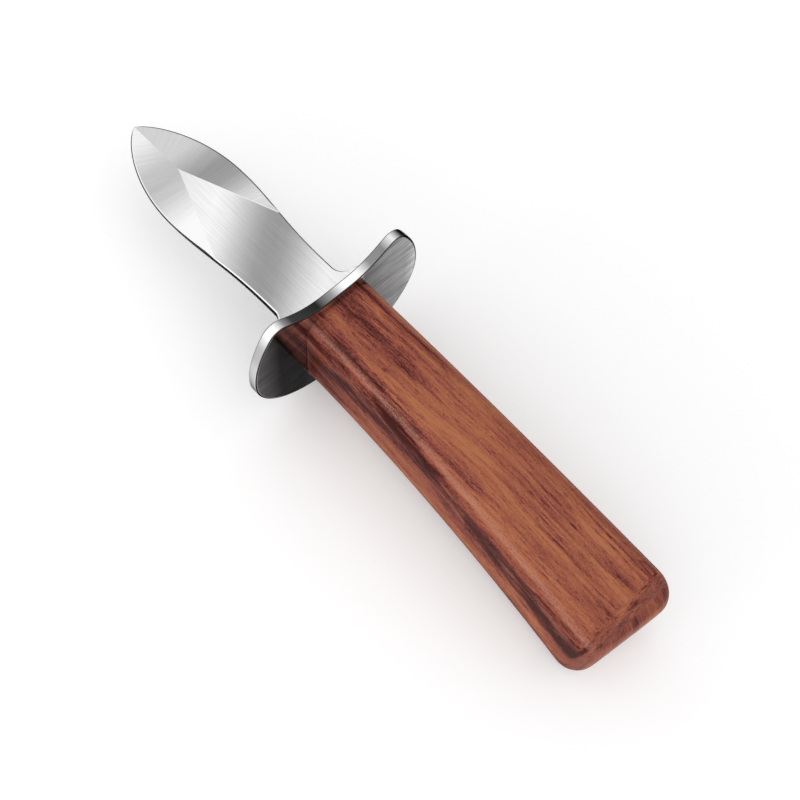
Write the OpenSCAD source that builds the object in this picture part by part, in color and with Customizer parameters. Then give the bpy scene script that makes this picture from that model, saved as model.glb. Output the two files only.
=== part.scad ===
// Oyster knife: a leaf-shaped blade with a stick tang, a flat hand guard and a glued-on hardwood handle.
// It is built in the blade's frame: x = 0 is the guard's rear face, +X runs to the tip, z = 0 is the
// middle of the blade. The last step lays it down on the guard's lower rim and the handle's underside.

/* [Blade] */
// Length of the blade from the guard to the tip
blade_len = 66; // [60:0.5:90]
// Thickness of the blade at its shoulder
blade_t = 2.1; // [1.6:0.1:3]
// Width of the neck, just in front of the shoulder
neck_w = 16.2; // [12:0.1:18]
// Greatest width of the leaf
belly_w = 20.7; // [18.5:0.1:26]
// Distance from the guard to the widest place of the leaf
belly_at = 40.8; // [36:0.2:46]
// Width of the rounded tip
tip_w = 0.6; // [0.4:0.1:1.5]
// Thickness at the tip
tip_t = 0.3; // [0.3:0.02:0.48]
// How far the shoulder stands out in front of the guard
shoulder_len = 5.6; // [4:0.1:8]
// Radius of the shoulder's two corners
shoulder_r = 2.3; // [1:0.1:3]
// Radius of the fillet between shoulder and neck
neck_fillet = 3.1; // [1.5:0.1:4]

/* [Bevels] */
// Distance from the guard to where the bevels start at the two edges
grind_at = 26.8; // [22:0.2:32]
// Distance from the guard to where the bevels meet in a ridge
ridge_at = 50.3; // [45:0.1:55]
// Thickness where the bevels meet
ridge_t = 0.84; // [0.5:0.02:1.4]
// Width of the ridge between the bevels
ridge_w = 0.1; // [0.05:0.05:0.4]
// Thickness of the blunt working edge
edge_t = 0.2; // [0.12:0.02:0.28]
// Length over which the bevels thin the edge down
thin_len = 13; // [8:0.5:20]
// Width of the small break along the unground edge
edge_break = 0.15; // [0.05:0.05:0.4]

/* [Tang] */
// Length of the tang behind the guard's rear face
tang_len = 42; // [30:1:46]
// Width of the tang
tang_w = 11; // [8:0.5:14]
// How far the tang lies below each face of the blade
tang_relief = 0.05; // [0.05:0.05:0.3]
// Radius of the tang's rear corners
tang_r = 3; // [1:0.5:3.5]

/* [Guard] */
// Width across the two lobes
guard_w = 45.4; // [38:0.2:54]
// Thickness of the guard plate
guard_t = 2.2; // [1.6:0.1:3]
// Height of the guard's widest level above the middle of the blade
guard_mid = 1.1; // [0:0.1:3]
// How far the guard reaches below its widest level
guard_down = 19.8; // [17:0.2:22]
// How far the lobes' curve would reach above the widest level
guard_up = 24; // [22:0.1:26]
// Angle at which each lobe's curve ends at its horn
horn_angle = 35; // [32:1:40]
// Rounding of the horns
horn_r = 3.2; // [1:0.1:3.6]
// Height of the straight middle of the upper rim above the middle of the blade
dip_at = 12.6; // [11:0.1:13]
// Width of the straight middle of the upper rim
dip_w = 14.4; // [12:0.2:16]
// Slope of the upper rim from the middle to the horns
dip_angle = 29; // [24:1:32]
// Rounding where the middle turns up to the horns
dip_r = 18; // [6:1:20]

/* [Handle] */
// Length of the handle
handle_len = 86; // [75:1:100]
// Width at the guard
front_w = 17.7; // [17:0.1:22]
// Width at the butt
butt_w = 24.2; // [20:0.1:28]
// Height of the handle
handle_h = 24.2; // [21:0.1:28]
// How far the handle's middle lies below the blade at the guard
front_drop = 2.2; // [0:0.1:3]
// How far the handle's middle lies below the blade at the butt
butt_drop = 14.65; // [8:0.05:18]
// Radius of the four long edges
edge_r = 5; // [2:0.5:7]
// Length of the rounded end
end_len = 6; // [3:0.5:9]
// How far the end draws in on each side
end_in_w = 3.4; // [2:0.2:7]
// How far the end draws in above and below
end_in_h = 7; // [2:0.5:7.5]
// How far the butt is cut off square, its left side being the shorter one
butt_slant = 8; // [0:1:12]

/* [Fits] */
// Clearance around the tang in the guard's slot
slot_gap = 0.1; // [0.05:0.05:0.3]
// Thickness of the adhesive around the tang in the handle
glue_gap = 0.4; // [0.2:0.1:0.8]

/* [Hidden] */

steel = [0.78, 0.79, 0.81];
wood = [0.55, 0.29, 0.2];
resin = [0.8, 0.72, 0.5];

// How the leaf swells to its belly and closes to its tip
swell_power = 1.3;
close_power = 0.75;
// How the handle widens and drops along its length
flare_power = 1.7;
drop_power = 1.75;
// How late along the handle the slant of its butt sets in
slant_power = 4;

arc_steps = 8;
lobe_steps = 16;
leaf_steps = 20;
handle_steps = 14;
end_steps = 6;

// Search for the tilt at rest: its limits, and how often the span between them is halved
least_tilt = -15;
most_tilt = 25;
tilt_halvings = 40;

tang_t = blade_t - 2 * tang_relief;
tang_root = shoulder_len / 2;
shoulder_half = neck_w / 2 + neck_fillet + shoulder_r;
shoulder_x = guard_t + shoulder_len;
tip_x = guard_t + blade_len;
belly_x = guard_t + belly_at;
neck_x = shoulder_x + neck_fillet;
grind_x = guard_t + grind_at;
ridge_x = guard_t + ridge_at;

function mix(a, b, t) = a + (b - a) * t;
function unit(v) = v / norm(v);
function arc(c, r, a0, a1) = [
    for (i = [0:arc_steps]) let (a = mix(a0, a1, i / arc_steps)) c + r * [cos(a), sin(a)]];
// Corner c between the points a and b, rounded with the radius, or less where a or b is too near for it
function blend(a, c, b, radius) =
    let (u = unit(a - c), v = unit(b - c), half = acos(u * v) / 2)
    let (r = min(radius, tan(half) * min(norm(a - c), norm(b - c))))
    let (middle = c + unit(u + v) * r / sin(half))
    let (s = c + u * r / tan(half) - middle, e = c + v * r / tan(half) - middle)
    let (start = atan2(s[1], s[0]), turn = atan2(cross(s, e), s * e))
    arc(middle, r, start, start + turn);

// Half outline of the blade in plan, from the guard to the tip: shoulder, neck, belly and tip.
// The fillet starts one step on, where the shoulder's corner has ended.
function swell_w(u) = mix(neck_w, belly_w, (1 - cos(180 * pow(u, swell_power))) / 2) / 2;
function close_w(u) = max(tip_w, belly_w * pow(1 - u * u, close_power)) / 2;
blade_edge = concat(
    [[guard_t, shoulder_half]],
    arc([shoulder_x - shoulder_r, shoulder_half - shoulder_r], shoulder_r, 90, 0),
    arc([neck_x, neck_w / 2 + neck_fillet], neck_fillet, 180 + 90 / arc_steps, 270),
    [for (i = [1:leaf_steps]) [mix(neck_x, belly_x, i / leaf_steps), swell_w(i / leaf_steps)]],
    [for (i = [1:leaf_steps]) let (u = 1 - pow(1 - i / leaf_steps, 1.5))
        [mix(belly_x, tip_x, u), close_w(u)]]);

// Thickness of the blade at x, on its flat and at its edge, both measured from the middle
function flat_z(x) = lookup(x, [[shoulder_x, blade_t / 2], [ridge_x, ridge_t / 2], [tip_x, tip_t / 2]]);
function edge_z(x) = lookup(x, [[grind_x, flat_z(x) - edge_break], [grind_x + thin_len, edge_t / 2]]);
// Half width of the flat between the bevels, where the blade's half width is w
grind_half = swell_w((grind_x - neck_x) / (belly_x - neck_x)) - edge_break;
function bevel_y(x) = x < grind_x ? shoulder_half
    : lookup(x, [[grind_x, grind_half], [ridge_x, ridge_w / 2]]);
function flat_y(x, w) = min(w - min(edge_break, w / 2), bevel_y(x));
function blade_ring(x, w) = let (z = flat_z(x), e = edge_z(x), y = flat_y(x, w)) [
    [x, w, -e], [x, w, e], [x, y, z], [x, -y, z],
    [x, -w, e], [x, -w, -e], [x, -y, -z], [x, y, -z]];

// Plan of the tang, or of the slot that holds it with a gap all round, from its rear end to x = front
function tang_plan(gap, front) = let (w = tang_w / 2 + gap, r = tang_r + gap, x = r - tang_len - gap) concat(
    [[front, -w], [front, w]], arc([x, w - r], r, 90, 180), arc([x, r - w], r, 180, 270));

// Half outline of the guard, from its lowest point round the lobe and the horn to the straight middle
function lobe(a, height) = [guard_w / 2 * cos(a), guard_mid + height * sin(a)];
lobe_end = lobe(horn_angle, guard_up);
lobe_way = [-guard_w / 2 * sin(horn_angle), guard_up * cos(horn_angle)];
dip_end = [dip_w / 2, dip_at];
dip_way = [cos(dip_angle), sin(dip_angle)];
horn = lobe_end + lobe_way * cross(dip_end - lobe_end, dip_way) / cross(lobe_way, dip_way);
guard_half = concat(
    [for (i = [0:lobe_steps]) lobe(mix(-90, 0, i / lobe_steps), guard_down)],
    [for (i = [1:arc_steps]) lobe(mix(0, horn_angle, i / arc_steps), guard_up)],
    blend(lobe_end, horn, dip_end, horn_r),
    blend(horn, dip_end, [0, dip_at], dip_r));

// Handle: its middle line drops and its width grows towards the butt, and its end draws in along a round
function handle_mid(x) = -mix(front_drop, butt_drop, pow(-x / handle_len, drop_power));
function handle_half(x) = mix(front_w, butt_w, pow(-x / handle_len, flare_power)) / 2;
// Each station is [x, how much of the end's draw-in it has]
straight_len = handle_len - end_len;
handle_stations = concat(
    [for (i = [0:handle_steps]) [-straight_len * i / handle_steps, 0]],
    [for (i = [1:end_steps]) let (a = 90 * i / end_steps) [-straight_len - end_len * sin(a), 1 - cos(a)]]);
// Cross-section with half width w and half height h, its four edges rounded
function rounded(w, h) = let (r = min(edge_r, 0.8 * w, 0.8 * h)) concat(
    arc([w - r, h - r], r, 0, 90), arc([r - w, h - r], r, 90, 180),
    arc([r - w, r - h], r, 180, 270), arc([w - r, r - h], r, 270, 360));
function slanted(x, y) = x + tan(butt_slant) * y * pow(-x / handle_len, slant_power);
function handle_ring(x, draw) = [
    for (p = rounded(handle_half(x) - draw * end_in_w, handle_h / 2 - draw * end_in_h))
        [slanted(x, p[0]), p[0], handle_mid(x) + p[1]]];

// The knife lies on the guard's rim and the handle's underside: a turn about Y makes them equally low
guard_under = [[0, guard_mid - guard_down], [guard_t, guard_mid - guard_down]];
handle_under = [for (s = handle_stations) each [for (p = handle_ring(s[0], s[1])) [p[0], p[2]]]];
function low(line, a) = min([for (p = line) p[1] * cos(a) - p[0] * sin(a)]);
function settle(a0, a1, turns) = let (a = (a0 + a1) / 2)
    turns == 0 ? a
    : low(handle_under, a) < low(guard_under, a) ? settle(a, a1, turns - 1)
    : settle(a0, a, turns - 1);
rest_tilt = settle(least_tilt, most_tilt, tilt_halvings);
function along(p) = p[0] * cos(rest_tilt) + p[1] * sin(rest_tilt);
front_end = along([tip_x, tip_t / 2]);
back_end = min([for (p = handle_under) along(p)]);

middle_x = (front_end + back_end) / 2;

module lay() translate([-middle_x, 0, -low(guard_under, rest_tilt)]) rotate([0, rest_tilt, 0]) children();

// Closed skin through rings of equally many points, each anticlockwise seen from +X, in the order of falling x
module skin(rings) {
    n = len(rings[0]);
    last = (len(rings) - 1) * n;
    sides = [for (k = [0:n:last - 1], j = [0:n - 1]) let (m = (j + 1) % n)
        each [[k + j, k + m, k + n + j], [k + m, k + n + m, k + n + j]]];
    ends = [[for (j = [n - 1:-1:0]) j], [for (j = [0:n - 1]) last + j]];
    polyhedron([for (r = rings) each r], concat(sides, ends), convexity = 4);
}

module tang_shape(gap, front) {
    linear_extrude(tang_t + 2 * gap, center = true) polygon(tang_plan(gap, front));
}

module blade() color(steel) lay() {
    skin([for (i = [len(blade_edge) - 1:-1:0]) blade_ring(blade_edge[i][0], blade_edge[i][1])]);
    tang_shape(0, guard_t + tang_root);
}

module guard() color(steel) lay() rotate([90, 0, 90]) linear_extrude(guard_t) difference() {
    polygon(concat(guard_half, [for (i = [len(guard_half) - 1:-1:1]) let (p = guard_half[i]) [-p[0], p[1]]]));
    square([tang_w + 2 * slot_gap, tang_t + 2 * slot_gap], center = true);
}

module handle() color(wood) lay() difference() {
    skin([for (s = handle_stations) handle_ring(s[0], s[1])]);
    tang_shape(glue_gap, guard_t);
}

module adhesive() color(resin) lay() difference() {
    tang_shape(glue_gap, 0);
    tang_shape(0, guard_t);
}

blade();
guard();
handle();
adhesive();
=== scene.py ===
"""Looks of an oyster knife: leaf-shaped steel blade, two-lobed guard and a reddish hardwood handle."""
import math

import bpy
import numpy as np
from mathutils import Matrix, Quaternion, Vector


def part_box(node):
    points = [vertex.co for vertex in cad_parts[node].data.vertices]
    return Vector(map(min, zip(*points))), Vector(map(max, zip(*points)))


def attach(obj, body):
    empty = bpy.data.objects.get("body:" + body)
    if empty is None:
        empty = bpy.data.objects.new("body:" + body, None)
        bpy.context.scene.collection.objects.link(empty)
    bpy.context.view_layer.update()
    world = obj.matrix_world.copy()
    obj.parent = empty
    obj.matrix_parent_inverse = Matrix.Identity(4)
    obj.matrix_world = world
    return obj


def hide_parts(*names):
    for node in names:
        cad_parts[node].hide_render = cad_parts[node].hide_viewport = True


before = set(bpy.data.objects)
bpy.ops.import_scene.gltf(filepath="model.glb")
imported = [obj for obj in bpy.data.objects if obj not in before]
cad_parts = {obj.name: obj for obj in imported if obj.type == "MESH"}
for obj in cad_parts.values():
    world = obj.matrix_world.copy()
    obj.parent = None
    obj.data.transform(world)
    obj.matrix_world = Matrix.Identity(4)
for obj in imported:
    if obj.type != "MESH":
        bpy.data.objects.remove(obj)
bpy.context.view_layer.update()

# Camera: it looks down on the knife from behind its butt's left side, so that the blade points to the
# upper left of the picture. Places are in millimetres in the knife's own frame.
MM = 0.001
CAMERA_AT = Vector((-53.42, 76.84, 228.26))
CAMERA_AIM = Vector((-10.68, 1.87, 18.82))
CAMERA_ROLL = math.radians(18.01)
SENSOR_W = 36
LENS = 49.5

camera = bpy.data.objects.new("camera", bpy.data.cameras.new("camera"))
camera.data.sensor_width = SENSOR_W
camera.data.lens = LENS
camera.data.clip_start = 10 * MM
camera.rotation_mode = "QUATERNION"
level_view = (CAMERA_AIM - CAMERA_AT).to_track_quat("-Z", "Y")
camera.rotation_quaternion = level_view @ Quaternion((0, 0, 1), CAMERA_ROLL)
camera.location = CAMERA_AT * MM
bpy.context.scene.collection.objects.link(camera)
bpy.context.scene.camera = camera
bpy.context.scene.view_settings.view_transform = "Standard"


# Floor: a pale matt tabletop that the knife lies on, wide enough to fill every view of it. It keeps the
# knife's shadow, and a faint glow, which only the eye and reflections see, lifts it to white.
def put(tree, kind, inputs=None, **settings):
    """Adds a shader node, sets its properties, and sets each input, or links it if a socket is given."""
    node = tree.nodes.new("ShaderNode" + kind)
    for key, value in settings.items():
        setattr(node, key, value)
    for key, value in (inputs or {}).items():
        if isinstance(value, bpy.types.NodeSocket):
            tree.links.new(value, node.inputs[key])
        else:
            node.inputs[key].default_value = value
    return node


def reckon(tree, operation, *values):
    """One step of arithmetic on values that are numbers or sockets; returns its result."""
    return put(tree, "Math", dict(enumerate(values)), operation=operation).outputs[0]


def new_material(name):
    """A material with an empty Principled shader; returns the material, its tree and the shader."""
    material = bpy.data.materials.new(name)
    material.use_nodes = True
    tree = material.node_tree
    return material, tree, tree.nodes["Principled BSDF"]


def seen_rays(tree):
    """1 for the rays that show a background, to the eye, mirrored or through glass, and 0 for those that
    light something."""
    ray = put(tree, "LightPath").outputs
    seen = reckon(tree, "MAXIMUM", ray["Is Camera Ray"], ray["Is Glossy Ray"])
    return reckon(tree, "MAXIMUM", seen, ray["Is Transmission Ray"])


FLOOR_HALF = 1500 * MM
FLOOR_GLOW = 0.22
floor_mesh = bpy.data.meshes.new("floor")
floor_corners = [(x * FLOOR_HALF, y * FLOOR_HALF, 0) for x, y in ((-1, -1), (1, -1), (1, 1), (-1, 1))]
floor_mesh.from_pydata(floor_corners, [], [(0, 1, 2, 3)])
floor = bpy.data.objects.new("floor", floor_mesh)
bpy.context.scene.collection.objects.link(floor)
floor_paint, tree, shader = new_material("floor_paint")
shader.inputs["Base Color"].default_value = (0.86, 0.86, 0.86, 1)
shader.inputs["Roughness"].default_value = 0.9
shader.inputs["Specular IOR Level"].default_value = 0.1
shader.inputs["Emission Color"].default_value = (1, 1, 1, 1)
glow = reckon(tree, "MULTIPLY", seen_rays(tree), FLOOR_GLOW)
tree.links.new(glow, shader.inputs["Emission Strength"])
floor_mesh.materials.append(floor_paint)


# Light: an even white studio whose light fades low on the right, and one low soft lamp on the left, which
# draws the highlight along the handle's edge.
def lamp(name, place, aim, size, power):
    """A square area lamp of that size at place, turned towards aim; places are in millimetres."""
    light = bpy.data.lights.new(name, "AREA")
    light.size = size * MM
    light.energy = power
    holder = bpy.data.objects.new(name, light)
    holder.location = Vector(place) * MM
    holder.rotation_mode = "QUATERNION"
    holder.rotation_quaternion = (Vector(aim) - Vector(place)).to_track_quat("-Z", "Y")
    bpy.context.scene.collection.objects.link(holder)


def ramp(tree, value, stops):
    """A colour ramp through (position, colour) stops; a colour may be a single grey."""
    node = put(tree, "ValToRGB", {"Fac": value})
    while len(node.color_ramp.elements) < len(stops):
        node.color_ramp.elements.new(0.5)
    for element, (position, colour) in zip(node.color_ramp.elements, stops):
        element.position = position
        element.color = (*np.broadcast_to(colour, 3), 1)
    return node.outputs["Color"]


def blend(tree, share, first, second):
    """The colour that lies that share of the way from the first to the second."""
    return put(tree, "Mix", {0: share, 6: first, 7: second}, data_type="RGBA").outputs[2]


def measured(tree, place, way):
    """How far a place lies in that direction."""
    return put(tree, "VectorMath", {0: place, 1: way}, operation="DOT_PRODUCT").outputs["Value"]


# The side that the studio is brightest on, and how bright
SKY_WAY = (0, 0.34, 0.94)
SKY_STRENGTH = 1.03

lamp("left_lamp", place=(80, 470, 180), aim=(-30, 0, 10), size=110, power=0.2)
world = bpy.data.worlds.new("studio")
world.use_nodes = True
tree = world.node_tree
height = measured(tree, put(tree, "TexCoord").outputs["Generated"], SKY_WAY)
light = ramp(tree, height, [(0.02, 0.2), (0.16, 0.35), (0.36, 0.9), (0.6, 1.0)])
shown = blend(tree, seen_rays(tree), light, (1, 1, 1, 1))
tree.links.new(shown, tree.nodes["Background"].inputs["Color"])
tree.nodes["Background"].inputs["Strength"].default_value = SKY_STRENGTH
bpy.context.scene.world = world


# Blade: one piece of stainless steel, blanked to a leaf with a wide shoulder and a stick tang. Its
# faces are brushed lengthwise and two bevels are ground crosswise on each, meeting in a ridge. A piece's
# map, which its tones and its painted reflections follow, has a unit of MAP_MM.
MAP_MM = 100.0
BLADE_LEN = 66.0
BLADE_T = 2.1
NECK_W = 16.2
BELLY_W = 20.7
BELLY_AT = 40.8
TIP_W = 0.6
TIP_T = 0.3
SHOULDER_LEN = 5.6
SHOULDER_R = 2.3
NECK_FILLET = 3.1
GRIND_AT = 26.8
RIDGE_AT = 50.3
RIDGE_T = 0.84
RIDGE_W = 0.1
EDGE_T = 0.2
THIN_LEN = 13.0
EDGE_BREAK = 0.15
TANG_LEN = 42.0
TANG_W = 11.0
TANG_RELIEF = 0.05
TANG_R = 3.0

# How the knife lies: tilted onto the lower rim of the guard, whose thickness, middle and reach down from
# it are these
REST_TILT = math.radians(4.62)
GUARD_T = 2.2
GUARD_MID = 1.1
GUARD_DOWN = 19.8

tip_x = GUARD_T + BLADE_LEN
rest_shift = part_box("blade")[1].x / MM - tip_x * math.cos(REST_TILT) - TIP_T / 2 * math.sin(REST_TILT)
rest_lift = GUARD_T * math.sin(REST_TILT) + (GUARD_DOWN - GUARD_MID) * math.cos(REST_TILT)


def lay(points):
    """Turns points from the blade's frame, in millimetres, to how the knife lies, in metres."""
    x, y, z = np.moveaxis(points, -1, 0)
    along = x * math.cos(REST_TILT) + z * math.sin(REST_TILT) + rest_shift
    up = z * math.cos(REST_TILT) - x * math.sin(REST_TILT) + rest_lift
    return np.stack([along, y, up], -1) * MM


def skin(name, rings, uv, caps=True):
    """Closes rings[i, j] into a skin of quads, each ring joined to the next and its last point to its
    first, with both end rings filled. uv[i, j] is the map in the same layout."""
    count, size = rings.shape[:2]
    i, j = np.meshgrid(np.arange(count - 1), np.arange(size), indexing="ij")
    k = (j + 1) % size
    row = i * size
    quads = np.stack([row + j, row + k, row + size + k, row + size + j], -1).reshape(-1, 4)
    corners = rings.reshape(-1, 3)
    a, b, c, d = (corners[quads[:, n]] for n in range(4))
    reach = (a + b + c + d) / 4 - corners.mean(0)
    outward = np.einsum("ij,ij->", np.cross(c - a, d - b), reach) > 0
    if not outward:
        quads = quads[:, ::-1]
    ends = [np.arange(size), np.arange(size) + (count - 1) * size] if caps else []
    ends = [e if (n == 0) != outward else e[::-1] for n, e in enumerate(ends)]
    mesh = bpy.data.meshes.new(name)
    mesh.from_pydata(lay(corners).tolist(), [], quads.tolist() + [e.tolist() for e in ends])
    mesh.polygons.foreach_set("use_smooth", [True] * len(quads) + [False] * len(ends))
    layer = mesh.uv_layers.new(name="UVMap")
    loops = np.empty(len(mesh.loops), int)
    mesh.loops.foreach_get("vertex_index", loops)
    layer.data.foreach_set("uv", uv.reshape(-1, 2)[loops].ravel())
    piece = bpy.data.objects.new(name, mesh)
    bpy.context.scene.collection.objects.link(piece)
    return piece


def arc(centre, radius, start, end, steps):
    """Points on a circular arc from the start to the end angle, in degrees."""
    angle = np.radians(np.linspace(start, end, steps + 1))
    return np.asarray(centre) + radius * np.stack([np.cos(angle), np.sin(angle)], -1)


def ease(start, end, share):
    """Blend from start to end that leaves and arrives level."""
    return start + (end - start) * (1 - np.cos(np.pi * share)) / 2


corner_x = GUARD_T + SHOULDER_LEN - SHOULDER_R
neck_x = GUARD_T + SHOULDER_LEN + NECK_FILLET
belly_x = GUARD_T + BELLY_AT
grind_x = GUARD_T + GRIND_AT
ridge_x = GUARD_T + RIDGE_AT
shoulder_half = NECK_W / 2 + NECK_FILLET + SHOULDER_R


def swell(share):
    """Half width between the neck and the belly."""
    return ease(NECK_W, BELLY_W, share ** 1.3) / 2


def blade_outline():
    """Half outline from the guard to the tip: shoulder, its corner, the fillet, the swelling to the
    belly and the closing (1 - u^2)^0.75 to the tip. Returns x and the half width."""
    u = np.linspace(0, 1, 70)[1:]
    close = 1 - (1 - u) ** 1.5
    closing = np.maximum(TIP_W, BELLY_W * (1 - close ** 2) ** 0.75) / 2
    shoulder_x = np.linspace(GUARD_T, corner_x, 6)[:-1]
    parts = [
        np.stack([shoulder_x, np.full(len(shoulder_x), shoulder_half)], -1),
        arc((corner_x, shoulder_half - SHOULDER_R), SHOULDER_R, 90, 0, 16),
        arc((neck_x, NECK_W / 2 + NECK_FILLET), NECK_FILLET, 180, 270, 20)[1:],
        np.stack([neck_x + (belly_x - neck_x) * u, swell(u)], -1),
        np.stack([belly_x + (tip_x - belly_x) * close, closing], -1),
    ]
    return np.concatenate(parts).T


def between(start, end, share):
    """Points between two arrays of points, at each share of the way."""
    return start[:, None] + (end - start)[:, None] * share[..., None]


# Where points stand on a side of the section, in millimetres from its nearer corner: close to a crease,
# which keeps it crisp, and along the blunted strip at an edge, painted dark, and the strip beside it,
# which carries a painted highlight on the left. On a short side they stand no further than these shares
# of it.
CREASE = (0.04,)
BORDER = (0.13,)
EDGE = (0.26, 0.5)
STRIPS = [(CREASE, CREASE), (EDGE, CREASE), (BORDER, BORDER), (CREASE, EDGE)] * 2
FURTHEST = (0.15, 0.3)

# What a point of the section starts. The first four are also the numbers of the blade's steels; the last
# two are the upper flat's left and right border, whose steel changes along the blade.
FLAT, BEVEL, BLANKED, CORNER, LEFT_BORDER, RIGHT_BORDER = range(6)


def blade_rings(x, w):
    """Eight-cornered sections across the blade: the flat between the bevels, the bevels and the edges.
    Also returns what each point of the section starts."""
    flat = np.interp(x, [GUARD_T + SHOULDER_LEN, ridge_x, tip_x], [BLADE_T / 2, RIDGE_T / 2, TIP_T / 2])
    thin = np.clip((x - grind_x) / THIN_LEN, 0, 1)
    edge_at_grind = np.interp(grind_x, x, flat) - EDGE_BREAK
    ground_edge = edge_at_grind + (EDGE_T / 2 - edge_at_grind) * thin
    edge = np.where(x < grind_x, flat - EDGE_BREAK, ground_edge)
    grind_half = swell((grind_x - neck_x) / (belly_x - neck_x)) - EDGE_BREAK
    bevel = np.interp(x, [grind_x, ridge_x], [grind_half, RIDGE_W / 2])
    bevel = np.where(x < grind_x, shoulder_half, bevel)
    y = np.minimum(w - np.minimum(EDGE_BREAK, w / 2), bevel)
    half = [(w, -edge), (w, edge), (y, flat), (-y, flat)]
    corners = [np.stack([x, a, b], -1) for a, b in half + [(-a, -b) for a, b in half]]
    sides = []
    for n, steps in enumerate((2, 10, 20, 10) * 2):
        start, end = corners[n], corners[(n + 1) % 8]
        length = np.linalg.norm(end - start, axis=-1)[:, None]
        near, far = (np.minimum(np.array(strip) / length, FURTHEST[:len(strip)]) for strip in STRIPS[n])
        last = 1 - far[:, ::-1]
        middle = near[:, -1:] + (last[:, :1] - near[:, -1:]) * np.linspace(0, 1, steps)[1:-1]
        sides.append(between(start, end, np.concatenate([0 * length, near, middle, last], 1)))
    rim = [BLANKED] * 3
    left = [BLANKED, CORNER] + [BEVEL] * 10
    upper = [LEFT_BORDER] + [FLAT] * 19 + [RIGHT_BORDER]
    right = [BEVEL] * 11 + [BLANKED]
    lower = [FLAT] * 21
    starts = rim + left + upper + right + rim + right[::-1] + lower + left[::-1]
    return np.concatenate(sides, 1), np.array(starts)


def box_ring(ring, x, half_w, half_t):
    """The points of a ring pressed onto a rectangle of that half width and half thickness at x."""
    y = ring[:, 1] / np.abs(ring[:, 1]).max()
    z = ring[:, 2] / np.abs(ring[:, 2]).max()
    size = np.maximum(np.abs(y), np.abs(z))
    return np.stack([np.full(len(y), x), y / size * half_w, z / size * half_t], -1)


outline_x, outline_w = blade_outline()
leaf, part_of_ring = blade_rings(outline_x, outline_w)
tang_t = BLADE_T - 2 * TANG_RELIEF
tang_angle = np.radians(np.linspace(0, 90, 8))
tang_x = np.concatenate([[GUARD_T, 0, -TANG_LEN / 2], -TANG_LEN + TANG_R * (1 - np.sin(tang_angle))])
tang_half = np.concatenate([np.full(3, TANG_W / 2), TANG_W / 2 - TANG_R * (1 - np.cos(tang_angle))])
tang = np.stack([box_ring(leaf[0], x, w, tang_t / 2) for x, w in zip(tang_x, tang_half)])
blade_points = np.concatenate([tang[::-1], leaf])
blade_uv = blade_points[..., :2] / MAP_MM
blade = skin("blade_steel", blade_points, blade_uv)


def weighted(tree, *terms):
    """The sum of value * weight over (value, weight) terms."""
    total = 0.0
    for value, weight in terms:
        total = reckon(tree, "MULTIPLY_ADD", value, weight, total)
    return total


def noise(tree, place, scale, detail=2, roughness=0.5):
    """Smooth noise from 0 to 1; scale is how many of its cells fit in a unit along each axis."""
    stretched = put(tree, "Mapping", {"Vector": place, "Scale": scale}).outputs["Vector"]
    settings = {"Vector": stretched, "Scale": 1, "Detail": detail, "Roughness": roughness}
    return put(tree, "TexNoise", settings).outputs["Fac"]


def part_way(tree, share, first, second):
    """The number that lies that share of the way from the first to the second."""
    return put(tree, "Mix", {0: share, 2: first, 3: second}).outputs[0]


def spread(tree, value, low, high, start=0.0, end=1.0):
    """The value moved from the range low to high onto the range start to end, and kept within it."""
    limits = {"Value": value, "From Min": low, "From Max": high, "To Min": start, "To Max": end}
    return put(tree, "MapRange", limits).outputs[0]


# The middle of the fan of scratches on the bevels, how far from it the edge lies, how many radians of the
# grinding's regular waves go into one radian of the fan, and the brightest tone of any steel
FAN_AT = (0.43, -0.26)
FAN_REACH = 0.36
FAN_WAVES = 350
BRIGHTEST = 0.96


def fanned(tree, across, fan):
    """The angle of a place on the map around the fan's middle, and the place laid out straight, so that
    scratches across it spread from there. The fan serves the left half, and its mirror image the right."""
    off = reckon(tree, "ABSOLUTE", across["Y"])
    ahead = weighted(tree, (across["X"], 1), (1, -fan[0]))
    angle = reckon(tree, "ARCTAN2", ahead, weighted(tree, (off, 1), (1, -fan[1])))
    return angle, put(tree, "CombineXYZ", {0: weighted(tree, (angle, FAN_REACH)), 1: off}).outputs[0]


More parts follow.
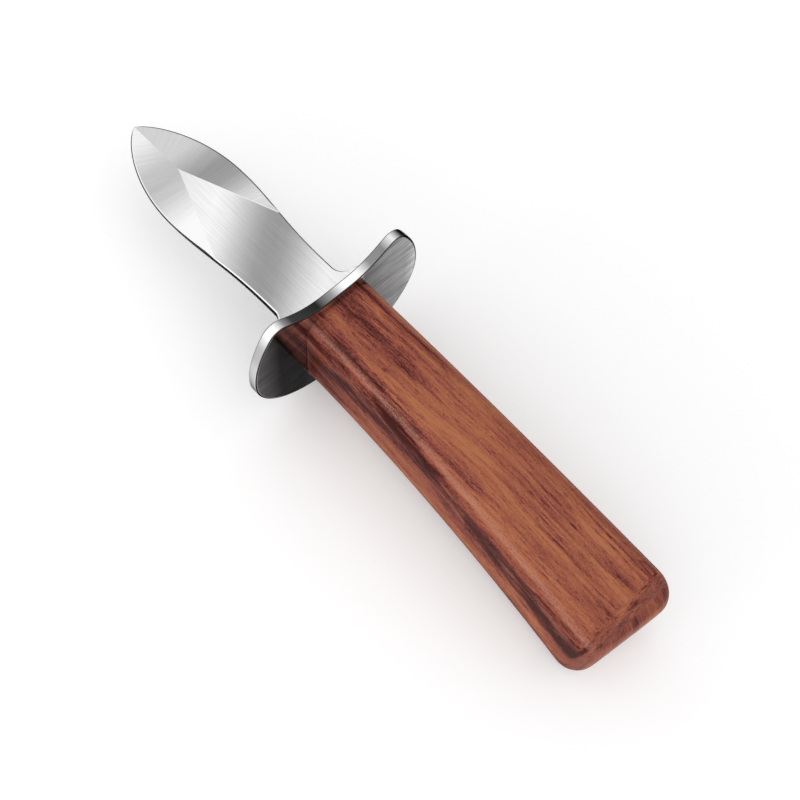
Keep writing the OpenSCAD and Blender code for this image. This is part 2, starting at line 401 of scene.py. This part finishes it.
def steel(name, painted_tone, roughness, grain, streak, bump, grazing=0.45, fan=None):
    """Bare steel with fine parallel scratches. The function after the name, called with (tree, u, v), is
    its tone over the map, which paints its reflections, highlights and dark edges; grain is how many
    scratches fit in the map's unit along u and v; streak is how much they vary the tone; grazing is how
    brightly it reflects at a low angle. With a fan, a place on the map, the scratches spread from there,
    have the regular waves of a grinding wheel among them, and fade towards the rear left."""
    material, tree, shader = new_material(name)
    place = put(tree, "TexCoord").outputs["UV"]
    across = put(tree, "SeparateXYZ", {0: place}).outputs
    if fan:
        angle, place = fanned(tree, across, fan)
    fine = noise(tree, place, (*grain, 1), 3, 0.6)
    wide = noise(tree, place, (grain[0] / 3, grain[1] / 3, 1), 1)
    if fan:
        waves = reckon(tree, "SINE", weighted(tree, (angle, FAN_WAVES), (wide, 2)))
        fine = weighted(tree, (fine, 0.8), (waves, 0.09), (1, 0.1))
        shown = ramp(tree, weighted(tree, (across["X"], 1), (across["Y"], -1.5)), [(0.26, 0.1), (0.4, 1)])
        fine = part_way(tree, shown, 0.5, fine)
        wide = part_way(tree, shown, 0.5, wide)
    scratches = weighted(tree, (fine, 1.4 * streak), (wide, 0.6 * streak), (1, 1 - streak))
    tone = reckon(tree, "MULTIPLY", painted_tone(tree, across["X"], across["Y"]), scratches)
    tone = reckon(tree, "MINIMUM", tone, BRIGHTEST)
    gloss = spread(tree, fine, 0.3, 0.7, roughness * 1.25, roughness * 0.8)
    colour = put(tree, "CombineColor", {0: tone, 1: tone, 2: tone}).outputs[0]
    raised = put(tree, "Bump", {"Height": fine, "Strength": bump, "Distance": 0.02 * MM}).outputs[0]
    tree.links.new(colour, shader.inputs["Base Color"])
    tree.links.new(gloss, shader.inputs["Roughness"])
    tree.links.new(raised, shader.inputs["Normal"])
    shader.inputs["Metallic"].default_value = 1
    shader.inputs["Specular Tint"].default_value = (grazing, grazing, grazing, 1)
    return material


def flat_painted_reflection(tree, u, v):
    """Painted reflection: a soft dark band slants across the flat behind its middle, between two bright
    ones.
    """
    slant = weighted(tree, (u, 1), (v, 0.7))
    return ramp(tree, slant, [
        (0.06, 0.85), (0.09, 0.76), (0.12, 0.62), (0.16, 0.44), (0.19, 0.35), (0.22, 0.32), (0.25, 0.34),
        (0.28, 0.43), (0.32, 0.6), (0.36, 0.8), (0.4, 0.9), (0.45, 0.86), (0.52, 0.76)])


def bevel_painted_reflection(tree, u, v):
    """Painted reflection: the right bevels are darkest a little behind the start of the ridge and the left
    ones at it.
    """
    right = ramp(tree, u, [
        (0.31, 0.66), (0.35, 0.72), (0.38, 0.63), (0.41, 0.45), (0.44, 0.34), (0.48, 0.31), (0.52, 0.43),
        (0.56, 0.61), (0.6, 0.63), (0.67, 0.63)])
    left = ramp(tree, u, [
        (0.4, 0.93), (0.44, 0.78), (0.48, 0.6), (0.52, 0.51), (0.56, 0.56), (0.6, 0.7), (0.64, 0.85),
        (0.67, 0.87)])
    return blend(tree, reckon(tree, "GREATER_THAN", v, 0), right, left)


def painted_dark_edge(tree, u, v):
    """Painted dark reflection on the blanked edge, which is also dull, and on the guard rim's steps."""
    return ramp(tree, u, [(0, 0.05), (0.6, 0.08)])


def painted_highlight_corner(tree, u, v):
    """Painted highlight: the corners are bright."""
    return ramp(tree, u, [(0, 0.97), (0.6, 0.9)])


# Where the painted highlight on the right border of the upper flat ends, behind the start of the ridge
BORDER_SHORT = 5.0

# Each steel's tone paints its reflections: bands on the flat and the bevels, a highlight on the corners
# and dark on the edges.
brushed = steel("brushed_blade_steel", flat_painted_reflection, roughness=0.3, grain=(10, 620), streak=0.34, bump=0.2)
ground = steel("ground_blade_steel", bevel_painted_reflection, roughness=0.24, grain=(330, 7), streak=0.22, bump=0.06,
               fan=FAN_AT)
blanked = steel("blade_edge_painted_dark", painted_dark_edge, roughness=0.45, grain=(60, 60), streak=0.3, bump=0.2,
                grazing=0.06)
corner_steel_painted_bright = steel("blade_corners_painted_bright", painted_highlight_corner, roughness=0.3, grain=(60, 60), streak=0.05, bump=0.02)
for finish in (brushed, ground, blanked, corner_steel_painted_bright):
    blade.data.materials.append(finish)

# Behind the bevels, the strips beside the flat and its borders carry a painted highlight on the left and
# are painted dark like the blanked edge on the right. The right border carries the painted highlight
# beside the bevel, and past the ridge all is ground.
face_x, face_y = blade_points[:-1, :, 0], blade_points[:-1, :, 1]
starts = np.tile(part_of_ring, (len(face_x), 1))
unground = face_x < grind_x
beside_flat = np.where(unground, np.where(face_y > 0, CORNER, BLANKED), BEVEL)
left_border = np.where(unground, CORNER, FLAT)
right_border = np.where(face_x < ridge_x - BORDER_SHORT, CORNER, FLAT)
right_border = np.where(unground, BLANKED, right_border)
changing = [starts == BEVEL, starts == LEFT_BORDER, starts == RIGHT_BORDER]
finishes = np.select(changing, [beside_flat, left_border, right_border], starts)
finishes[(finishes == FLAT) & (face_x > ridge_x)] = BEVEL
finishes[:len(tang)] = FLAT
finishes = np.append(finishes.ravel(), [FLAT, BLANKED]).astype(np.int32)
blade.data.polygons.foreach_set("material_index", finishes)
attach(blade, "root")
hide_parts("blade")


# Guard: a flat steel plate with two lobes that keeps the hand off the shell, slotted for the tang. Its
# faces are brushed across and its rim is polished, and both carry painted reflections.
GUARD_W = 45.4
GUARD_UP = 24.0
HORN_ANGLE = 35.0
HORN_R = 3.2
DIP_AT = 12.6
DIP_W = 14.4
DIP_ANGLE = 29.0
DIP_R = 18.0
SLOT_GAP = 0.1
RIM_ROUND = 0.35
RIM_LINE = 0.1

# Keeps a division from being by zero
TINY = 1e-6


def rounded_corner(before, corner, after, radius, steps):
    """The arc that rounds a corner between two straight ways to the points before and after it."""
    u = (before - corner) / np.linalg.norm(before - corner)
    v = (after - corner) / np.linalg.norm(after - corner)
    half = np.arccos(u @ v) / 2
    middle = corner + (u + v) / np.linalg.norm(u + v) * radius / np.sin(half)
    start, end = (corner + way * radius / np.tan(half) - middle for way in (u, v))
    first = np.degrees(np.arctan2(start[1], start[0]))
    turn = np.degrees(np.arctan2(start[0] * end[1] - start[1] * end[0], start @ end))
    return arc(middle, radius, first, first + turn, steps)


def guard_outline():
    """Outline as seen from the handle: the round lower lobe, the sides up to the two horns, and the
    straight dip between them. It is closed and symmetric about the knife's middle."""
    down = np.radians(np.linspace(-90, 0, 60))
    up = np.radians(np.linspace(0, HORN_ANGLE, 25))[1:]
    lower = np.stack([GUARD_W / 2 * np.cos(down), GUARD_MID + GUARD_DOWN * np.sin(down)], -1)
    upper = np.stack([GUARD_W / 2 * np.cos(up), GUARD_MID + GUARD_UP * np.sin(up)], -1)
    way = np.array([-GUARD_W / 2 * np.sin(up[-1]), GUARD_UP * np.cos(up[-1])])
    dip_end = np.array([DIP_W / 2, DIP_AT])
    dip_way = np.array([math.cos(math.radians(DIP_ANGLE)), math.sin(math.radians(DIP_ANGLE))])
    horn = upper[-1] + way * np.cross(dip_end - upper[-1], dip_way) / np.cross(way, dip_way)
    half = np.concatenate([
        lower, upper,
        rounded_corner(upper[-1], horn, dip_end, HORN_R, 16),
        rounded_corner(horn, dip_end, np.array([0, DIP_AT]), DIP_R, 12),
    ])
    return np.concatenate([half, half[:0:-1] * [-1, 1]])


def slot_ring(outline, half_w, half_t):
    """The rectangle of the tang's slot, with a point in the direction of each outline point."""
    way = outline / np.linalg.norm(outline, axis=1, keepdims=True)
    reach = (half_w, half_t) / np.maximum(np.abs(way), TINY)
    return way * reach.min(axis=1, keepdims=True)


outline = guard_outline()
ahead = np.roll(outline, -1, 0) - np.roll(outline, 1, 0)
inward = np.stack([-ahead[:, 1], ahead[:, 0]], -1) / np.linalg.norm(ahead, axis=1, keepdims=True)
slot = slot_ring(outline, TANG_W / 2 + SLOT_GAP, tang_t / 2 + SLOT_GAP)
bend = np.radians(np.linspace(0, 90, 6))
rim_in = RIM_ROUND * (1 - np.sin(bend))
rim_x = RIM_ROUND * (1 - np.cos(bend))
profile = [(0, RIM_ROUND + RIM_LINE)] + list(zip(rim_x, rim_in))
profile += [(GUARD_T - x, inset) for x, inset in reversed(profile)]
rim = [(x, outline + inward * inset) for x, inset in profile]
rings = [(0, slot)] + rim + [(GUARD_T, slot), (0, slot)]
guard_points = np.stack([np.concatenate([np.full((len(p), 1), x), p], 1) for x, p in rings])
guard_uv = guard_points[..., 1:] / MAP_MM
guard = skin("guard_plate", guard_points, guard_uv, caps=False)


def face_painted_reflection(tree, y, z):
    """Painted reflection: the faces darken from the right lobe to the left one, whose end is a little
    lighter again.
    """
    return ramp(tree, weighted(tree, (y, 1), (0.5, 1)), [
        (0.28, 0.78), (0.285, 0.73), (0.29, 0.64), (0.31, 0.475), (0.33, 0.455), (0.37, 0.38), (0.4, 0.3),
        (0.6, 0.05), (0.66, 0.045), (0.7, 0.13), (0.72, 0.17)])


# The bright tone painted onto the rear face where it mirrors the wood
PAINTED_MIRROR_TONE = (0.85, 0.85, 0.85, 1)


def rear_painted_reflection(tree, y, z):
    """The same painted reflection, but painted bright where the face mirrors the wood: around the handle,
    up to a limit on the right, one low down, a slanting one low on the left, and one on the left."""
    past = weighted(tree, (y, -1), (1, -0.07))
    for limit in ([(z, -1), (1, -0.13)], [(y, 0.96), (z, -0.28), (1, -0.1145)], [(y, 1), (1, -0.165)]):
        past = reckon(tree, "MAXIMUM", past, weighted(tree, *limit))
    near = spread(tree, past, -0.014, 0.001, 1, 0)
    return blend(tree, near, face_painted_reflection(tree, y, z), PAINTED_MIRROR_TONE)


def rim_painted_reflection(tree, y, z):
    """Painted reflections of the studio on the polished rim: black and white stretches follow each other
    along it.
    """
    stops = [
        (-22.7, 0.43), (-21.2, 0.38), (-20, 0.03), (-17, 0.04), (-15, 0.86), (-12.5, 0.25), (-9, 0.28),
        (-6, 0.94), (-2, 1), (1, 0.33), (5, 0.02), (12, 0.05), (14, 0.27), (16, 0.98), (18, 0.94),
        (19.7, 0.5), (21, 0.51), (22.7, 0.9)]
    return ramp(tree, weighted(tree, (y, 1), (0.5, 1)), [(0.5 + mm / MAP_MM, tone) for mm, tone in stops])


# The guard's tones paint its reflections: the faces darken towards the left lobe, the rear face is bright
# where it mirrors the wood, the rim has black and white stretches and its steps are dark.
rear = steel("guard_rear_steel", rear_painted_reflection, roughness=0.11, grain=(12, 150), streak=1.25, bump=0.06)
polished = steel("polished_rim_painted_reflections", rim_painted_reflection, roughness=0.2, grain=(60, 60), streak=0.06, bump=0.02,
                 grazing=0.2)
step_steel_painted_dark = steel("rim_edges_painted_dark", painted_dark_edge, roughness=0.3, grain=(60, 60), streak=0.2, bump=0.05, grazing=0.06)
front = steel("guard_front_steel", face_painted_reflection, roughness=0.2, grain=(9, 75), streak=0.7, bump=0.06)
for finish in (rear, polished, step_steel_painted_dark, front):
    guard.data.materials.append(finish)

# The strips of the skin run from the slot over the rear face, around the rim, over the front face and
# back through the slot. Where the rim is rounded, the steps next to the faces are painted dark.
REAR, POLISHED, PAINTED_DARK_STEP, FRONT = range(4)
strips = np.full(len(rings) - 1, POLISHED)
strips[0] = REAR
strips[2:5] = PAINTED_DARK_STEP
strips[-7:-3] = PAINTED_DARK_STEP
strips[-2] = FRONT
strips[-1] = REAR
guard.data.polygons.foreach_set("material_index", np.repeat(strips, len(outline)).astype(np.int32))
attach(guard, "root")
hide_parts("guard")


# Handle: a block of reddish-brown hardwood, sawn to a bent, widening shape, rounded along its edges
# and end, and finished with a satin oil. A blind slot in its front takes the tang.
HANDLE_LEN = 86.0
FRONT_W = 17.7
BUTT_W = 24.2
HANDLE_H = 24.2
FRONT_DROP = 2.2
BUTT_DROP = 14.65
EDGE_R = 5.0
END_LEN = 6.0
END_IN_W = 3.4
END_IN_H = 7.0
BUTT_SLANT = math.radians(8)
GLUE_GAP = 0.4
CORNER_STEPS = 14
SIDE_STEPS = 10
BODY_RINGS = 120
END_STEPS = 20
GRAIN_WAY = Vector((1, 0.038, 0.065)).normalized()
END_TONE = (0.55, 0.55, 0.55, 1)
# The pale colour of the painted highlight along the upper edges and the butt's brink
HIGHLIGHT_COLOUR = (0.5, 0.25, 0.19, 1)


def handle_ring(x, draw):
    """Rounded rectangle at x; draw, from 0 to 1, is how far the rounded end has drawn in. Towards the
    butt the section turns by the slant times the fourth power of its share of the length."""
    share = -x / HANDLE_LEN
    w = (FRONT_W + (BUTT_W - FRONT_W) * share ** 1.7) / 2 - draw * END_IN_W
    h = HANDLE_H / 2 - draw * END_IN_H
    middle = -(FRONT_DROP + (BUTT_DROP - FRONT_DROP) * share ** 1.75)
    r = min(EDGE_R, 0.8 * w, 0.8 * h)
    corners = [arc((a * (w - r), b * (h - r)), r, start, start + 90, CORNER_STEPS)
               for a, b, start in ((1, 1, 0), (-1, 1, 90), (-1, -1, 180), (1, -1, 270))]
    sides = [np.linspace(corners[n][-1], corners[(n + 1) % 4][0], SIDE_STEPS + 1)[1:-1] for n in range(4)]
    ring = np.concatenate([p for n in range(4) for p in (corners[n], sides[n])])
    slanted = x + math.tan(BUTT_SLANT) * ring[:, :1] * share ** 4
    return np.concatenate([slanted, ring + [0, middle]], 1)


body_x = -np.linspace(0, HANDLE_LEN - END_LEN, BODY_RINGS)
end_angle = np.radians(np.linspace(0, 90, END_STEPS))[1:]
body = [handle_ring(x, 0) for x in body_x]
end = [handle_ring(END_LEN - HANDLE_LEN - END_LEN * math.sin(a), 1 - math.cos(a)) for a in end_angle]
mouth = slot_ring(body[0][:, 1:], TANG_W / 2 + GLUE_GAP, tang_t / 2 + GLUE_GAP)
slot_rings = [np.concatenate([np.full((len(mouth), 1), x), mouth], 1) for x in (-TANG_LEN - GLUE_GAP, 0)]
handle_points = np.stack(slot_rings + body + end)
half_ring = 2 * (CORNER_STEPS + SIDE_STEPS)
from_top = np.arange(2 * half_ring) - (CORNER_STEPS + SIDE_STEPS // 2)
girth = 1 - np.abs(from_top / half_ring - 2 * (from_top > half_ring))
handle_uv = np.stack([handle_points[..., 0] / MAP_MM, np.tile(girth, (len(handle_points), 1))], -1)
handle = skin("wooden_handle", handle_points, handle_uv)


def grain_axes(tree, place):
    """The place measured along the grain, to its left and upwards."""
    left = GRAIN_WAY.cross(Vector((0, 0, -1))).normalized()
    upward = GRAIN_WAY.cross(left)
    return [measured(tree, place, way) for way in (GRAIN_WAY, left, upward)]


def wood_figure(tree, axes, waver, end):
    """The figure as noise that is long along the grain: clouds, streaks, fine lines, veins and pores. On
    the butt's end it is drawn out upwards instead."""
    tall = reckon(tree, "MULTIPLY", axes[2], weighted(tree, (end, -0.85), (1, 1)))
    shifted = {0: axes[0], 1: weighted(tree, (waver, 1), (axes[1], 1)), 2: tall}
    shifted = put(tree, "CombineXYZ", shifted).outputs[0]
    clouds = noise(tree, shifted, (34, 270, 170), 3, 0.6)
    streaks = noise(tree, shifted, (60, 1600, 1000), 3, 0.65)
    lines = noise(tree, shifted, (400, 3800, 2600), 1)
    veins = spread(tree, noise(tree, shifted, (9, 420, 240)), 0.54, 0.62)
    pores = spread(tree, lines, 0.57, 0.63)
    return clouds, streaks, lines, veins, pores


def wood_tone_and_painted_shade(tree, forward, around, end):
    """How light the wood is, apart from its figure, with painted shade and light: the sides are painted
    darkest below the upper edges, the front is painted lighter against the guard's shade but for its top,
    which is darker, and the butt is a little darker."""
    side = ramp(tree, around, [
        (0.4, 0.53), (0.475, 0.54), (0.52, 0.46), (0.56, 0.4), (0.66, 0.42), (0.7, 0.49), (0.73, 0.58),
        (0.77, 0.61), (0.8, 0.58), (0.95, 0.62)])
    side = blend(tree, end, side, END_TONE)
    rear = ramp(tree, forward, [(0.17, 1), (0.32, 0)])
    front = ramp(tree, forward, [(0.7, 0), (0.95, 1)])
    front_top = reckon(tree, "MULTIPLY", front, ramp(tree, around, [(0.74, 0), (0.82, 1)]))
    return weighted(tree, (side, 1), (end, -0.11), (rear, -0.08), (front, 0.09), (front_top, -0.24))


def wood_painted_highlight(tree, forward, around, end):
    """How much painted highlight lies on the edges: the upper ones along the handle, and those around the
    butt's end.
    """
    upper = ramp(tree, around, [(0.715, 0), (0.739, 1), (0.757, 0.85), (0.79, 0)])
    brink = ramp(tree, forward, [(0.15, 0), (0.17, 0.5), (0.19, 0.3), (0.21, 0)])
    return blend(tree, end, upper, brink)


def hardwood():
    """Reddish-brown heartwood with darker clouds, streaks along the grain and short dark pores, painted
    shade on its sides, a painted highlight along the upper edges and around the butt's end, and lighter
    low on the butt's end. The map's v is the way around the handle, from 0 in the middle below to 1 in the
    middle on top; forward is 0.14 at the butt's end and 1 at the front."""
    material, tree, shader = new_material("oiled_hardwood")
    coordinates = put(tree, "TexCoord").outputs
    axes = grain_axes(tree, coordinates["Object"])
    along = put(tree, "CombineXYZ", dict(enumerate(axes))).outputs[0]
    seen = put(tree, "SeparateXYZ", {0: coordinates["UV"]}).outputs
    forward = weighted(tree, (seen["X"], 1), (1, 1))
    end = ramp(tree, forward, [(0.16, 1), (0.19, 0)])
    waves, ripples = noise(tree, along, (22, 60, 60)), noise(tree, along, (70, 260, 260))
    waver = weighted(tree, (waves, 0.0035), (ripples, 0.0004))
    around = weighted(tree, (seen["Y"], 1), (waver, 10), (1, -0.018))
    clouds, streaks, lines, veins, pores = wood_figure(tree, axes, waver, end)
    grit = noise(tree, along, (2500, 4600, 4600), 2, 0.6)
    # Painted shade on the sides and painted light at the front, with the wood's own tone
    shade = wood_tone_and_painted_shade(tree, forward, around, end)
    tone = weighted(tree, (clouds, 0.92), (streaks, 0.7), (lines, 0.2), (pores, -0.18), (veins, -0.12),
                    (grit, 0.46), (shade, 1), (axes[0], -1.2), (1, -1.18))
    tone = part_way(tree, weighted(tree, (end, 0.45)), tone, 0.45)
    low = reckon(tree, "MULTIPLY", spread(tree, axes[2], 0.0247, 0.0235), end)
    wood = ramp(tree, weighted(tree, (tone, 1), (low, 0.15)), [
        (0.2, (0.06, 0.016, 0.013)), (0.33, (0.145, 0.038, 0.031)), (0.42, (0.24, 0.067, 0.05)),
        (0.5, (0.305, 0.088, 0.059)), (0.58, (0.36, 0.115, 0.064)), (0.74, (0.45, 0.165, 0.08))])
    # A painted highlight along the upper edges and around the butt's end, sparkling with the grit and
    # lines
    highlight_share = weighted(tree, (grit, 1.4), (lines, 0.6), (1, -0.65))
    highlight_share = reckon(tree, "MULTIPLY", wood_painted_highlight(tree, forward, around, end), highlight_share)
    highlighted_wood = blend(tree, highlight_share, wood, HIGHLIGHT_COLOUR)
    rough = weighted(tree, (lines, 0.7), (grit, 0.5))
    raised = put(tree, "Bump", {"Height": rough, "Strength": 0.25, "Distance": 0.05 * MM}).outputs[0]
    gloss = spread(tree, lines, 0.3, 0.7, 0.36, 0.25)
    tree.links.new(highlighted_wood, shader.inputs["Base Color"])
    tree.links.new(raised, shader.inputs["Normal"])
    tree.links.new(gloss, shader.inputs["Roughness"])
    shader.inputs["Specular IOR Level"].default_value = 0.006
    return material


handle.data.materials.append(hardwood())
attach(handle, "root")
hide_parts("handle")


# Adhesive: cured resin that fills the slot around the tang. It is hidden inside the handle and keeps
# its shape from the solid model.
def cured_resin():
    """Pale amber resin with faint clouds."""
    material, tree, shader = new_material("cured_resin")
    place = put(tree, "TexCoord").outputs["Object"]
    clouds = put(tree, "TexNoise", {"Vector": place, "Scale": 300, "Detail": 3}).outputs["Fac"]
    colour = ramp(tree, clouds, [(0.3, (0.55, 0.45, 0.22)), (0.7, (0.72, 0.62, 0.38))])
    tree.links.new(colour, shader.inputs["Base Color"])
    shader.inputs["Roughness"].default_value = 0.35
    return material


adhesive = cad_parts["adhesive"]
adhesive.data.materials.clear()
adhesive.data.materials.append(cured_resin())
